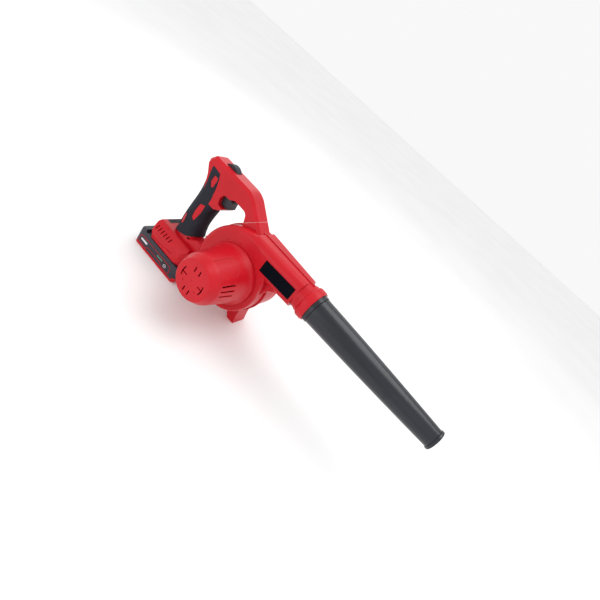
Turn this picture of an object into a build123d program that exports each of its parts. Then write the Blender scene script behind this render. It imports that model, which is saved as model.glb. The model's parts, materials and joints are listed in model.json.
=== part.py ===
from build123d import *
import os
from math import cos, radians, sin

os.makedirs("parts", exist_ok=True)

# Cordless leaf blower.  Millimetres, +X towards the nozzle, +Z up, origin at
# the centre of the battery's flat base.  The motor is on the -Y side.

# ---------------------------------------------------------------- dimensions
WALL = 2.4            # moulded housing wall
RUN_GAP = 0.4         # gap between pieces that move past each other
SEAM = 0.15           # half of the seam between two housing mouldings
SKIN = 1.8            # thickness of the soft grip rubber
LIP = 1.6             # half thickness of the parting rim
RIM = 2.2             # how far the parting rim stands out of the volute
SCREW_R = 1.5         # self-tapping screw
SCREW_HEAD_R = 3.0
PIN_GAP = 0.05        # radial clearance of a pin or shaft in its hole

# Battery pack
PACK_L = 102.0
PACK_W = 76.0
PACK_H = 27.0
BASE_T = 4.0          # red base plate
BASE_STEP = 9.0       # height of the plate's raised front end
HUMP_TOP = 32.0       # raised rear end, behind the handle foot
DECK_W = 50.0         # rail deck that slides into the foot
DECK_TOP = 37.0
NECK_W = 42.0         # deck width below the rails
RAIL_Z = 32.0         # underside of the rails
CASE_WALL = 2.6
CELL_R = 9.15         # 18650 cell
CELL_L = 65.0
CELL_COUNT = 5

# Handle foot, the housing that holds the pack
FOOT_TOP = 59.0
FOOT_W = 73.0
FOOT_TOP_W = 56.0
FOOT_REAR = -33.0
FOOT_FRONT = 47.0

# Grip and head
GRIP_TOP = 181.0
HEAD_TOP = 192.5
HEAD_W = 31.0
HEAD_CHAMFER = 4.0
BRIDGE_W = 40.0

# Volute and outlet
FAN_X = 113.0         # motor and impeller axis
FAN_Z = 86.0
SCROLL_MIN = 55.0     # scroll radius at the tongue
SCROLL_MAX = 74.0     # scroll radius at the top
NEAR_DEPTH = 29.0     # motor side half of the volute
FAR_DEPTH = 46.0      # inlet side half of the volute
DUCT_R = 22.0
DUCT_Z = FAN_Z + SCROLL_MAX - DUCT_R - 0.3
DUCT_RIM = 1.2        # height of the parting rim along the duct
DUCT_BORE = 19.5
BOX_END = 208.0       # where the flat sided duct turns round
COLLAR_X = 220.0
COLLAR_L = 14.0
COLLAR_R = 26.0
SOCKET_R = 23.4       # socket for the nozzle

# Nozzle
RING_R = 23.0
RING_L = 6.0          # visible length of the lock ring
TUBE_R = 22.0
TIP_R = 14.6
TUBE_END = 460.0
TIP_RING_R = 15.9
TIP_RING_L = 4.5
NOZZLE_WALL = 2.0
LUG_H = 1.2

# Motor side
BARREL_FOOT_R = 46.0
BARREL_R = 41.0
BARREL_END_R = 35.5
BARREL_END_Y = -88.0
CAP_Y = -102.5
CAP_R = 27.8
MOTOR_R = 21.0
MOTOR_FRONT = -37.0
MOTOR_REAR = -86.0
SHAFT_R = 2.5

# Impeller
IMPELLER_R = 44.0
EYE_R = 28.0
BLADES = 11

# Controls
TRIGGER_W = 16.0
TRIGGER_TRAVEL = 6.0
DIAL_X = 12.5
DIAL_Z = 184.0
DIAL_R = 14.0
DIAL_W = 11.0

# Stand foot
STAND_X = 134.0
STAND_L = 14.0
STAND_Y = 15.0
STAND_W = 30.5

FAN_LINE = Axis((FAN_X, 0, FAN_Z), (0, 1, 0))
DUCT_LINE = Axis((0, 0, DUCT_Z), (1, 0, 0))


def fan_plane(y):
    """Plane across the fan axis at height y, sketched as (x, z) from the axis."""
    return Plane(origin=(FAN_X, y, FAN_Z), x_dir=(1, 0, 0), z_dir=(0, -1, 0))


def duct_plane(x):
    """Plane across the duct at station x, sketched as (y, z) from the duct axis."""
    return Plane(origin=(x, 0, DUCT_Z), x_dir=(0, 1, 0), z_dir=(1, 0, 0))


def save(name, part):
    part.label = name
    export_step(part, f"parts/{name}.step")


def ring_of(points):
    """Closed solid of revolution about the fan axis from (radius, y) points."""
    with BuildPart() as turned:
        with BuildSketch(Plane(origin=(FAN_X, 0, FAN_Z), x_dir=(1, 0, 0), z_dir=(0, 0, 1))):
            with BuildLine():
                Polyline(*points, close=True)
            make_face()
        revolve(axis=FAN_LINE)
    return turned.part


def tube_of(points):
    """Closed solid of revolution about the duct axis from (x, radius) points."""
    with BuildPart() as turned:
        with BuildSketch(Plane(origin=(0, 0, DUCT_Z), x_dir=(1, 0, 0), z_dir=(0, -1, 0))):
            with BuildLine():
                Polyline(*points, close=True)
            make_face()
        revolve(axis=DUCT_LINE)
    return turned.part


# -------------------------------------------------------------------- grip
# (height, middle along X, half length, half width) of the grip's oval
GRIP_STATIONS = [
    (50.0, 9.0, 25.0, 22.0),
    (62.0, 7.5, 24.0, 21.0),
    (76.0, 4.6, 21.6, 18.4),
    (92.0, 3.0, 20.0, 17.0),
    (112.0, 4.2, 19.8, 16.6),
    (137.0, 6.0, 20.2, 16.4),
    (160.0, 3.0, 20.2, 16.4),
    (GRIP_TOP, -2.0, 20.4, 15.8),
]


def grip_solid(inset):
    """The grip's oval column, taken in by inset all round."""
    with BuildPart() as column:
        for height, middle, half_l, half_w in GRIP_STATIONS:
            with BuildSketch(Plane.XY.offset(height)):
                with Locations((middle, 0)):
                    RectangleRounded(
                        2 * (half_l - inset), 2 * (half_w - inset), 0.94 * (half_w - inset)
                    )
        loft()
    return column.part


RUBBER_REGION = [
    (-40, 56), (-10, 60), (12, 66), (36, 79), (40, 100), (40, 131), (25, 139),
    (15, 144), (14, 156), (15, 169), (8, 177.5), (-6, 179.5), (-24, 176.5), (-40, 176),
]
WINDOWS = [
    [(1, 171), (7.6, 171), (9.2, 167), (8.6, 155), (5.4, 153.5), (0.4, 160)],
    [(5, 122), (14, 125.5), (13.2, 110), (9.6, 92.5), (4, 97), (3, 108)],
    [(-9, 95), (-6.5, 92), (-4, 82), (-4, 76), (-7, 75), (-10.5, 84)],
]


def side_prism(points, radius, half_width):
    """Prism through the grip from side to side with rounded corners."""
    with BuildPart() as prism:
        with BuildSketch(Plane.XZ) as outline:
            with BuildLine():
                Polyline(*points, close=True)
            make_face()
            fillet(outline.vertices(), radius)
        extrude(amount=half_width, both=True)
    return prism.part


rubber_zone = side_prism(RUBBER_REGION, 3.0, 40.0)
windows = [side_prism(window, 1.2, 40.0) for window in WINDOWS]

with BuildPart() as rubber_sleeve:
    add(grip_solid(0))
    add(grip_solid(SKIN), mode=Mode.SUBTRACT)
    add(rubber_zone, mode=Mode.INTERSECT)
    for window in windows:
        add(window, mode=Mode.SUBTRACT)

# ------------------------------------------------------------- handle shell
HEAD_BEND = 36.0      # bend from the head's top down into the column
HEAD_OUTLINE = [
    (-12, 165), (-22.5, 183), (-15, HEAD_TOP), (66, HEAD_TOP), (97, 169), (80, 152.5),
    (75, 166), (50, 166), (42, 161), (30.5, 160), (27, 152), (29.5, 142), (38.5, 141.5),
    (37, 137), (27, 131), (0, 131),
]
HEAD_RADII = [0, 0, 0, HEAD_BEND, 0, 0, 9, 5, 0, 4, 8, 3, 1.5, 1.5, 4, 0]


def side_face(points, radii):
    """Face in the middle plane from (x, z) points whose corners are rounded by radii."""
    with BuildSketch(Plane.XZ) as outline:
        with BuildLine():
            Polyline(*points, close=True)
        make_face()
        for point, radius in zip(points, radii):
            if radius > 0:
                fillet(outline.vertices().sort_by_distance((point[0], point[1], 0))[0], radius)
    return outline.sketch.face()


def inset_side_face(points, radii, inset):
    """The same face taken in by inset all round."""
    with BuildSketch(Plane.XZ) as outline:
        add(Plane.XZ.to_local_coords(side_face(points, radii)))
        offset(amount=-inset, kind=Kind.INTERSECTION)
    return outline.sketch.face()


# The rear, top and front of the head are chamfered by keeping it inside this form.
ENVELOPE = [
    (-30, 120), (-22.5, 183), (-15, HEAD_TOP), (66, HEAD_TOP), (97, 169), (150, 129),
    (150, 20), (-30, 20),
]
ENVELOPE_RADII = [0, 0, 0, HEAD_BEND, 0, 0, 0, 0]


def envelope_solid(inset):
    """Chamfered form that bounds the head, taken in by inset."""
    with BuildPart() as form:
        flat = HEAD_W / 2 - HEAD_CHAMFER - inset / 2
        extrude(inset_side_face(ENVELOPE, ENVELOPE_RADII, inset), amount=flat, both=True)
        rise = HEAD_W / 2 - inset - flat
        extrude(form.faces().sort_by(Axis.Y)[0], amount=rise, taper=45)
        extrude(form.faces().sort_by(Axis.Y)[-1], amount=rise, taper=45)
    return form.part


with BuildPart() as head:
    extrude(side_face(HEAD_OUTLINE, HEAD_RADII), amount=HEAD_W / 2, both=True)
    add(envelope_solid(0.001), mode=Mode.INTERSECT)

with BuildPart() as head_room:
    extrude(inset_side_face(HEAD_OUTLINE, [0] * 16, WALL), amount=HEAD_W / 2 - WALL, both=True)
    add(envelope_solid(WALL), mode=Mode.INTERSECT)


def foot_solid(inset):
    """The pack housing, taken in by inset all round."""
    half_w = FOOT_W / 2 - inset
    top_w = FOOT_TOP_W / 2 - inset / 2
    front = FOOT_FRONT - inset
    rear = FOOT_REAR + inset
    top = FOOT_TOP - inset
    low = PACK_H + RUN_GAP + inset
    with BuildPart() as body:
        with BuildSketch(Plane.XZ) as side:
            with BuildLine():
                Polyline(
                    (rear + 8, low), (front, low), (front, 46), (front - 9, top), (rear + 1, top),
                    (rear - 4, 45), close=True,
                )
            make_face()
            fillet(side.vertices().group_by(Axis.X)[-1].sort_by(Axis.Y)[-1], 6)
        extrude(amount=half_w, both=True)
        with BuildSketch(Plane.YZ) as end:
            with BuildLine():
                Polyline(
                    (-half_w, low - 1), (-half_w, 46), (-top_w, top), (top_w, top), (half_w, 46),
                    (half_w, low - 1), close=True,
                )
            make_face()
            fillet(end.vertices().filter_by(lambda v: v.Y > 40), 6)
        extrude(amount=100, both=True, mode=Mode.INTERSECT)
        with BuildSketch(Plane.XY) as plan:
            with BuildLine():
                back = ThreePointArc((rear + 2, -half_w), (rear - 5, 0), (rear + 2, half_w))
                Polyline(back @ 1, (front, half_w), (front, -half_w), back @ 0)
            make_face()
            fillet(plan.vertices().group_by(Axis.X)[-1], 22 - inset)
        extrude(amount=100, mode=Mode.INTERSECT)
    return body.part


with BuildPart() as foot:
    add(foot_solid(0))
    fillet(foot.faces().sort_by(Axis.Z)[-1].edges(), 2.0)

BRIDGE_SIDE = [(-6, 50), (62, 46), (62, 81), (50, 79), (34, 75), (20, 66), (0, 60), (-14, 58)]
with BuildPart() as bridge:
    extrude(side_face(BRIDGE_SIDE, [0] * 8), amount=BRIDGE_W / 2, both=True)
    bridge_tops = bridge.edges().filter_by(lambda e: abs(abs((e @ 0.5).Y) - BRIDGE_W / 2) < 0.01)
    fillet(bridge_tops.filter_by(lambda e: (e @ 0.5).Z > 56 and (e @ 0.5).X < 61), 6)

# ------------------------------------------------------------------ leads
LEAD_R = 1.1
LEAD_BEND = 8.0
# route of one supply lead from the terminal block up the grip to the switch
SUPPLY_ROUTE = [(25, 48.3), (17, 62), (7, 92), (5, 118), (4, 141.0)]
SUPPLY_SIDES = (-3.5, 3.5)
# route of one motor lead from the control board past the impeller to the motor
MOTOR_ROUTE = [(12, -12, 50), (45, -15.5, 62), (64, -24, 71), (87, -24.4, 82), (87, -82, 84)]
LEAD_STEP = 3.4       # the two motor leads lie this far apart


def lead(points, radius, bend):
    """Round wire along straight runs joined by tangent arcs."""
    with BuildPart() as wire:
        with BuildLine() as path:
            FilletPolyline(*points, radius=bend)
        with BuildSketch(Plane(origin=path.line @ 0, z_dir=path.line % 0)):
            Circle(radius)
        sweep(path=path.line)
    return wire.part


supply_paths = [[(x, side, z) for x, z in SUPPLY_ROUTE] for side in SUPPLY_SIDES]
motor_paths = [[(x, y, z + LEAD_STEP * turn) for x, y, z in MOTOR_ROUTE] for turn in (0, 1)]

with BuildPart() as supply_leads:
    for path_points in supply_paths:
        add(lead(path_points, LEAD_R, LEAD_BEND))
save("supply_leads", supply_leads.part)

with BuildPart() as motor_leads:
    for path_points in motor_paths:
        add(lead(path_points, LEAD_R, 5.0))
save("motor_leads", motor_leads.part)

with BuildPart() as lead_holes:
    for path_points in motor_paths:
        add(lead(path_points, LEAD_R + 0.5, 5.0))
    for path_points in supply_paths:
        add(lead(path_points, LEAD_R + 0.5, LEAD_BEND))

# ------------------------------------------------------------------ volute
SCROLL_START = 10     # angle of the tongue, degrees above +X
SCROLL_TURN = 280     # the scroll grows through this angle, down and round to the top


def scroll_radius(angle):
    """Radius of the parting rim at an angle in degrees, from 10 down to -270."""
    return SCROLL_MIN + (SCROLL_MAX - SCROLL_MIN) * (SCROLL_START - angle) / SCROLL_TURN


def scroll_face(inset):
    """Scroll outline as (x, z) from the fan axis, taken in by inset."""
    with BuildSketch(fan_plane(0)) as outline:
        with BuildLine():
            points = []
            for step in range(9):
                angle = SCROLL_START - SCROLL_TURN * step / 8
                radius = scroll_radius(angle) - inset
                points.append((radius * cos(radians(angle)), radius * sin(radians(angle))))
            curve = Spline(*points)
            bulge = (SCROLL_MIN + SCROLL_MAX) / 2 + 1 - inset
            middle = (bulge * cos(radians(50)), bulge * sin(radians(50)))
            ThreePointArc(curve @ 1, middle, curve @ 0)
        make_face()
    return outline.sketch.face()


def drum(inset, near, far, round_edge):
    """Scroll drum from the near to the far face with rounded outer edges."""
    with BuildPart() as body:
        extrude(scroll_face(inset), amount=near)
        extrude(scroll_face(inset), amount=-far)
        fillet(body.faces().sort_by(Axis.Y)[0].edges(), round_edge)
        fillet(body.faces().sort_by(Axis.Y)[-1].edges(), round_edge)
    return body.part


DUCT_LOW = DUCT_Z - DUCT_R
DOME_START = 8.0      # the inlet side of the drum narrows from here
DOME_END_R = EYE_R + 24


def dome_ring(inset):
    """Ring outside the cone to which the inlet side of the drum narrows."""
    wide = SCROLL_MAX + 4 - inset
    return ring_of([
        (wide, DOME_START), (2 * SCROLL_MAX, DOME_START), (2 * SCROLL_MAX, FAR_DEPTH + 1),
        (DOME_END_R - inset, FAR_DEPTH + 1),
    ])


with BuildSketch(Plane.XZ) as web_outline:
    with BuildLine():
        web_arc = ThreePointArc((184, DUCT_LOW + 0.5), (173, 108.5), (166, 94))
        Polyline(web_arc @ 1, (150, 94), (150, DUCT_Z), (184, DUCT_Z), web_arc @ 0)
    make_face()

STUB_SIDE = [
    (97 + SEAM, 169 - SEAM), (80 + SEAM, 152.5 - SEAM), (84, 140), (118, 140), (120, 152),
]
STAND_SIDE = [
    (STAND_X - 13, 42), (STAND_X - 8, 14), (STAND_X - 3, 5), (STAND_X + 1, 0),
    (STAND_X + 1 + STAND_L, 0), (STAND_X + STAND_L - 2, 14), (STAND_X + STAND_L - 5, 42),
]

def flank_wedge(inset):
    """Wedge that trims the drum to the plane of the duct's flat near side."""
    with BuildPart() as wedge:
        with BuildSketch(Plane.XY.offset(FAN_Z)):
            with BuildLine():
                Polyline(
                    (FAN_X, inset - NEAR_DEPTH), (BOX_END, inset - DUCT_R), (BOX_END, -NEAR_DEPTH - 5),
                    (FAN_X, -NEAR_DEPTH - 5), close=True,
                )
            make_face()
        extrude(amount=200, both=True)
    return wedge.part


with BuildPart() as volute_outer:
    add(drum(RIM, NEAR_DEPTH, FAR_DEPTH, 8))
    add(dome_ring(0), mode=Mode.SUBTRACT)
    add(flank_wedge(0), mode=Mode.SUBTRACT)
    with BuildSketch(duct_plane(FAN_X)):
        RectangleRounded(2 * NEAR_DEPTH, 2 * DUCT_R, 12)
    with BuildSketch(duct_plane(BOX_END)):
        RectangleRounded(2 * DUCT_R, 2 * DUCT_R, 12)
    loft()
    extrude(web_outline.sketch.face(), amount=DUCT_R - 6, both=True)
    with BuildSketch(duct_plane(BOX_END - 10)):
        Circle(DUCT_R)
    extrude(amount=COLLAR_X - BOX_END + 10)
    with BuildSketch(Plane.XZ.offset(-STAND_Y)):
        with BuildLine():
            Polyline(*STAND_SIDE, close=True)
        make_face()
    extrude(amount=-STAND_W)

with BuildPart() as stub:
    extrude(side_face(STUB_SIDE, [0] * 5), amount=HEAD_W / 2, both=True)
    add(envelope_solid(0.001), mode=Mode.INTERSECT)

with BuildPart() as rim:
    extrude(scroll_face(0), amount=LIP, both=True)
    with BuildSketch(Plane.XZ) as duct_rim:
        with Locations(((FAN_X + COLLAR_X - 5) / 2, DUCT_Z)):
            Rectangle(COLLAR_X - 5 - FAN_X, 2 * (DUCT_R + DUCT_RIM))
    extrude(amount=LIP, both=True)

with BuildPart() as volute_room:
    add(drum(RIM + WALL, NEAR_DEPTH - WALL, FAR_DEPTH - WALL, 5.5))
    add(dome_ring(WALL), mode=Mode.SUBTRACT)
    add(flank_wedge(WALL), mode=Mode.SUBTRACT)
    with BuildSketch(duct_plane(FAN_X + 20)):
        Circle(DUCT_BORE)
    extrude(amount=COLLAR_X - FAN_X)

# Screw bosses: (x, z, reach to the right, reach to the left)
VOLUTE_BOSSES = [(96, 154, 13.0, 13.0)]
for boss_angle in (-20, -100, -190):
    reach = scroll_radius(boss_angle) - RIM - WALL - 1.5
    boss_x = FAN_X + reach * cos(radians(boss_angle))
    boss_z = FAN_Z + reach * sin(radians(boss_angle))
    VOLUTE_BOSSES.append((boss_x, boss_z, NEAR_DEPTH - 4, FAR_DEPTH - 10))
HEAD_POST = HEAD_W / 2 - 1
HANDLE_BOSSES = [
    (-10, 182, HEAD_POST, HEAD_POST), (56, 178, HEAD_POST, HEAD_POST),
    (79, 172, HEAD_POST, HEAD_POST), (40, 58, BRIDGE_W / 2 - 1, BRIDGE_W / 2 - 1),
    (-27, 48, FOOT_W / 2 - 4, FOOT_W / 2 - 4),
]
BOSS_R = 4.0
HEAD_SEAT = 6.0       # the screw heads seat this far to the left of the middle plane
SCREW_L = 15.0


def boss_posts(places):
    """Solid posts across the housing."""
    with BuildPart() as posts:
        for x, z, right, left in places:
            with BuildSketch(Plane(origin=(x, left, z), x_dir=(1, 0, 0), z_dir=(0, -1, 0))):
                Circle(BOSS_R)
            extrude(amount=left + right)
    return posts.part


def boss_holes(places):
    """Screw holes sunk from the left side, blind in the right half."""
    with BuildPart() as holes:
        for x, z, _, _ in places:
            with BuildSketch(Plane(origin=(x, HEAD_SEAT, z), x_dir=(1, 0, 0), z_dir=(0, 1, 0))):
                Circle(SCREW_HEAD_R + 0.3)
            extrude(amount=60)
            with BuildSketch(Plane(origin=(x, HEAD_SEAT, z), x_dir=(1, 0, 0), z_dir=(0, -1, 0))):
                Circle(SCREW_R + PIN_GAP)
            extrude(amount=SCREW_L + 1)
    return holes.part


def screws_at(places):
    """One screw for each place, as separate solids."""
    with BuildPart() as screws:
        for x, z, _, _ in places:
            with BuildSketch(Plane(origin=(x, HEAD_SEAT, z), x_dir=(1, 0, 0), z_dir=(0, 1, 0))):
                Circle(SCREW_HEAD_R)
            extrude(amount=2.2)
            with BuildSketch(Plane(origin=(x, HEAD_SEAT, z), x_dir=(1, 0, 0), z_dir=(0, -1, 0))):
                Circle(SCREW_R)
            extrude(amount=SCREW_L)
            with BuildSketch(Plane(origin=(x, HEAD_SEAT + 2.2, z), x_dir=(1, 0, 0), z_dir=(0, -1, 0))):
                Rectangle(3.6, 0.9)
                Rectangle(0.9, 3.6)
            extrude(amount=1.2, mode=Mode.SUBTRACT)
    return screws.part


MOTOR_HOLE_R = 7.0
MOTOR_SCREW_R = 12.5
MOTOR_SEAT_Y = -NEAR_DEPTH + WALL - 0.5    # seat of the motor's screw heads
BELL_T = 2.0
INLET_R = EYE_R + BELL_T

with BuildPart() as volute_whole:
    add(volute_outer.part)
    add(stub.part)
    add(rim.part)
    add(volute_room.part, mode=Mode.SUBTRACT)
    add(boss_posts(VOLUTE_BOSSES))
    # inlet bell in the far wall
    with BuildSketch(fan_plane(FAR_DEPTH)):
        Circle(INLET_R)
    extrude(amount=22)
    with BuildSketch(fan_plane(FAR_DEPTH)):
        Circle(EYE_R)
    extrude(amount=30, mode=Mode.SUBTRACT)
    # motor seat, shaft hole and motor screw holes in the near wall
    with BuildSketch(fan_plane(-NEAR_DEPTH)):
        Circle(MOTOR_R + 1)
    extrude(amount=-NEAR_DEPTH - MOTOR_FRONT)
    with BuildSketch(fan_plane(-NEAR_DEPTH + WALL + 1)):
        Circle(MOTOR_HOLE_R)
        with PolarLocations(MOTOR_SCREW_R, 2, start_angle=90):
            Circle(SCREW_R + PIN_GAP)
    extrude(amount=40, mode=Mode.SUBTRACT)
    with BuildSketch(fan_plane(MOTOR_SEAT_Y)):
        with PolarLocations(MOTOR_SCREW_R, 2, start_angle=90):
            Circle(SCREW_HEAD_R + 0.2)
    extrude(amount=-5, mode=Mode.SUBTRACT)
    add(boss_holes(VOLUTE_BOSSES), mode=Mode.SUBTRACT)
    add(lead_holes.part, mode=Mode.SUBTRACT)


with BuildPart() as volute_shell_right:
    add(volute_whole.part)
    split(bisect_by=Plane.XZ.offset(SEAM / 2), keep=Keep.TOP)
save("volute_shell_right", volute_shell_right.part)

with BuildPart() as volute_shell_left:
    add(volute_whole.part)
    split(bisect_by=Plane.XZ.offset(-SEAM / 2), keep=Keep.BOTTOM)
save("volute_shell_left", volute_shell_left.part)

with BuildPart() as volute_screws:
    add(screws_at(VOLUTE_BOSSES))
save("volute_screws", volute_screws.part)

# ------------------------------------------------------------ handle shells
CHANNEL_TOP = DECK_TOP + 1.2
CHANNEL_W = DECK_W + 2 * RUN_GAP
CHANNEL_END = 44.2

with BuildPart() as volute_footprint:
    extrude(scroll_face(-2 * SEAM), amount=60, both=True)

with BuildPart() as pads:
    add(grip_solid(0.3))
    add(windows[0] + windows[1] + windows[2], mode=Mode.INTERSECT)

with BuildPart() as grip_room:
    add(grip_solid(SKIN + WALL))
    with BuildSketch(Plane.XY.offset(CHANNEL_TOP + WALL + 8)):
        Rectangle(200, 200)
    extrude(amount=125, mode=Mode.INTERSECT)

with BuildPart() as channel_walls:
    with BuildSketch(Plane.XY.offset(PACK_H + RUN_GAP)):
        Rectangle(200, CHANNEL_W + 2 * WALL)
    extrude(amount=CHANNEL_TOP + WALL - PACK_H - RUN_GAP)
    add(foot_solid(0.01), mode=Mode.INTERSECT)

with BuildPart() as handle_whole:
    add(grip_solid(SKIN))
    add(head.part)
    add(foot.part)
    add(bridge.part)
    add(pads.part)
    # hollow grip, head, foot and bridge
    add(grip_room.part, mode=Mode.SUBTRACT)
    add(head_room.part, mode=Mode.SUBTRACT)
    add(foot_solid(WALL), mode=Mode.SUBTRACT)
    with BuildSketch(Plane.XY.offset(50)):
        with Locations((40, 0)):
            Rectangle(50, BRIDGE_W - 2 * WALL)
    extrude(amount=16, mode=Mode.SUBTRACT)
    # rail channel for the battery, open at the rear
    add(channel_walls.part)
    add(boss_posts(HANDLE_BOSSES))
    with BuildSketch(Plane.XY.offset(RAIL_Z)):
        with Locations(((CHANNEL_END - 60) / 2, 0)):
            Rectangle(CHANNEL_END + 60, CHANNEL_W)
    extrude(amount=CHANNEL_TOP - RAIL_Z, mode=Mode.SUBTRACT)
    with BuildSketch(Plane.XY.offset(PACK_H - 1)):
        with Locations(((CHANNEL_END - 60) / 2, 0)):
            Rectangle(CHANNEL_END + 60, NECK_W + 2 * RUN_GAP)
    extrude(amount=RAIL_Z - PACK_H + 1, mode=Mode.SUBTRACT)
    add(volute_footprint.part, mode=Mode.SUBTRACT)
    add(boss_holes(HANDLE_BOSSES), mode=Mode.SUBTRACT)

TRIGGER_Z = 150.5
PLUNGER_R = 2.2
SWITCH_FRONT = 12.0
SWITCH_L = 16.0
DIAL_GAP = 0.6
DIAL_PIN_R = 2.0
GRILLE_L = 9.0
GRILLE_W = 34.0
GRILLE_T = 1.6
SIDE_SLOTS = 6
SIDE_SLOT_STEP = 6.4
BLOCK_L = 22.0
BLOCK_W = 32.0
BLOCK_X = 25.0
BLADE_PITCH = 8.0
BLADE_T = 0.8


def cross_plane(x, y, z):
    """Upright plane facing -Y at a point."""
    return Plane(origin=(x, y, z), x_dir=(1, 0, 0), z_dir=(0, -1, 0))


with BuildPart() as dial_posts:
    with BuildSketch(cross_plane(DIAL_X, -DIAL_W / 2 - DIAL_GAP, DIAL_Z)):
        Circle(DIAL_PIN_R + WALL)
    extrude(amount=HEAD_W / 2 - 1 - DIAL_W / 2 - DIAL_GAP)

with BuildPart() as control_cuts:
    # slot for the trigger
    with BuildSketch(Plane.XZ):
        with Locations((25, TRIGGER_Z + 0.25)):
            Rectangle(22, 17.1)
    extrude(amount=TRIGGER_W / 2 + RUN_GAP, both=True)
    # well for the speed dial and the bearing hole of its pin
    with BuildSketch(cross_plane(DIAL_X, 0, DIAL_Z)):
        Circle(DIAL_R + DIAL_GAP)
    extrude(amount=DIAL_W / 2 + DIAL_GAP, both=True)
    with BuildSketch(cross_plane(DIAL_X, 0, DIAL_Z)):
        Circle(DIAL_PIN_R + PIN_GAP)
    extrude(amount=12)
    # pocket for the vent grille on top of the foot
    with BuildSketch(Plane.XY.offset(FOOT_TOP - GRILLE_T)):
        with Locations((FOOT_REAR + 6.5, 0)):
            Rectangle(GRILLE_L + 0.2, GRILLE_W + 0.2)
    extrude(amount=10)
    # window for the terminal block in the channel ceiling
    with BuildSketch(Plane.XY.offset(CHANNEL_TOP - 1)):
        with Locations((BLOCK_X, 0)):
            Rectangle(BLOCK_L + 0.4, BLOCK_W + 0.4)
    extrude(amount=WALL + 2)
    # cooling slots through both side walls of the foot
    for side in (-1, 1):
        with BuildSketch(Plane.XZ.offset(side * (FOOT_W / 2 - 2.5 * WALL))):
            for slot in range(SIDE_SLOTS):
                with Locations((FOOT_REAR + 7 + slot * SIDE_SLOT_STEP, 48.5)):
                    Rectangle(1.8, 7, rotation=-8)
        extrude(amount=side * 4 * WALL)

with BuildPart() as side_groove:
    for side in (-1, 1):
        with BuildSketch(Plane.XZ.offset(side * (FOOT_W / 2 - 0.7))):
            with BuildLine():
                Polyline((-60, 41), (17, 41), (25, 43), (21, 36), (-8, 31), (-60, 31), close=True)
            make_face()
        extrude(amount=side * 5)

with BuildPart() as handle_cut_whole:
    add(handle_whole.part)
    add(dial_posts.part)
    add(control_cuts.part, mode=Mode.SUBTRACT)
    add(side_groove.part, mode=Mode.SUBTRACT)
    add(lead_holes.part, mode=Mode.SUBTRACT)
    add(rubber_sleeve.part, mode=Mode.SUBTRACT)


with BuildPart() as handle_shell_right:
    add(handle_cut_whole.part)
    split(bisect_by=Plane.XZ.offset(SEAM / 2), keep=Keep.TOP)
save("handle_shell_right", handle_shell_right.part)

with BuildPart() as handle_shell_left:
    add(handle_cut_whole.part)
    split(bisect_by=Plane.XZ.offset(-SEAM / 2), keep=Keep.BOTTOM)
save("handle_shell_left", handle_shell_left.part)

with BuildPart() as grip_rubber_right:
    add(rubber_sleeve.part)
    split(bisect_by=Plane.XZ.offset(SEAM / 2), keep=Keep.TOP)
save("grip_rubber_right", grip_rubber_right.part)

with BuildPart() as grip_rubber_left:
    add(rubber_sleeve.part)
    split(bisect_by=Plane.XZ.offset(-SEAM / 2), keep=Keep.BOTTOM)
save("grip_rubber_left", grip_rubber_left.part)

with BuildPart() as handle_screws:
    add(screws_at(HANDLE_BOSSES))
save("handle_screws", handle_screws.part)

# -------------------------------------------------------------- foot fittings
with BuildPart() as vent_grille:
    with BuildSketch(Plane.XY.offset(FOOT_TOP - GRILLE_T)):
        with Locations((FOOT_REAR + 6.5, 0)):
            Rectangle(GRILLE_L, GRILLE_W)
    extrude(amount=0.8)
    with BuildSketch(Plane.XY.offset(FOOT_TOP - GRILLE_T + 0.8)):
        with Locations((FOOT_REAR + 6.5, 0)):
            Rectangle(GRILLE_L, GRILLE_W)
            Rectangle(GRILLE_L - 1.6, GRILLE_W - 1.6, mode=Mode.SUBTRACT)
            with GridLocations(0, 3.2, 1, 10):
                Rectangle(GRILLE_L, 1.4)
    extrude(amount=0.8)
save("vent_grille", vent_grille.part)

with BuildPart() as terminal_block:
    with BuildSketch(Plane.XY.offset(CHANNEL_TOP + 0.4)):
        with Locations((BLOCK_X, 0)):
            Rectangle(BLOCK_L, BLOCK_W)
    extrude(amount=9)
    fillet(terminal_block.edges().filter_by(Axis.Z), 1.5)
save("terminal_block", terminal_block.part)

with BuildPart() as terminal_blades:
    for blade in range(4):
        with BuildSketch(Plane.XY.offset(RAIL_Z - 1)):
            with Locations((BLOCK_X, (blade - 1.5) * BLADE_PITCH)):
                Rectangle(BLOCK_L - 4, BLADE_T)
        extrude(amount=CHANNEL_TOP + 0.4 - RAIL_Z + 1)
save("terminal_blades", terminal_blades.part)

with BuildPart() as control_board:
    with BuildSketch(Plane.XY.offset(CHANNEL_TOP + WALL + 2)):
        with Locations((-4, 0)):
            Rectangle(26, 46)
    extrude(amount=1.6)
    with BuildSketch(Plane.XY.offset(CHANNEL_TOP + WALL + 3.6)):
        with Locations((-10, -14), (-10, 14)):
            Rectangle(8, 10)
        with Locations((2, 0)):
            Rectangle(7, 7)
    extrude(amount=3)
    with BuildSketch(Plane.XY.offset(CHANNEL_TOP + WALL)):
        with Locations((-4, 0)):
            with GridLocations(20, 40, 2, 2):
                Circle(1.5)
    extrude(amount=2)
save("control_board", control_board.part)

# ----------------------------------------------------------------- controls
TRIGGER_SIDE = [(23, 157.8), (40, 158.6), (43.6, 156), (44.6, 143.4), (33, 142.9), (23, 144)]
with BuildPart() as trigger:
    extrude(side_face(TRIGGER_SIDE, [0, 1.5, 3, 2.0, 0, 0]), amount=TRIGGER_W / 2, both=True)
    with BuildSketch(Plane(origin=(SWITCH_FRONT - 3, 0, TRIGGER_Z), x_dir=(0, 1, 0), z_dir=(1, 0, 0))):
        Circle(PLUNGER_R)
    extrude(amount=23.5 - SWITCH_FRONT + 3)
save("trigger", trigger.part)

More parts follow.
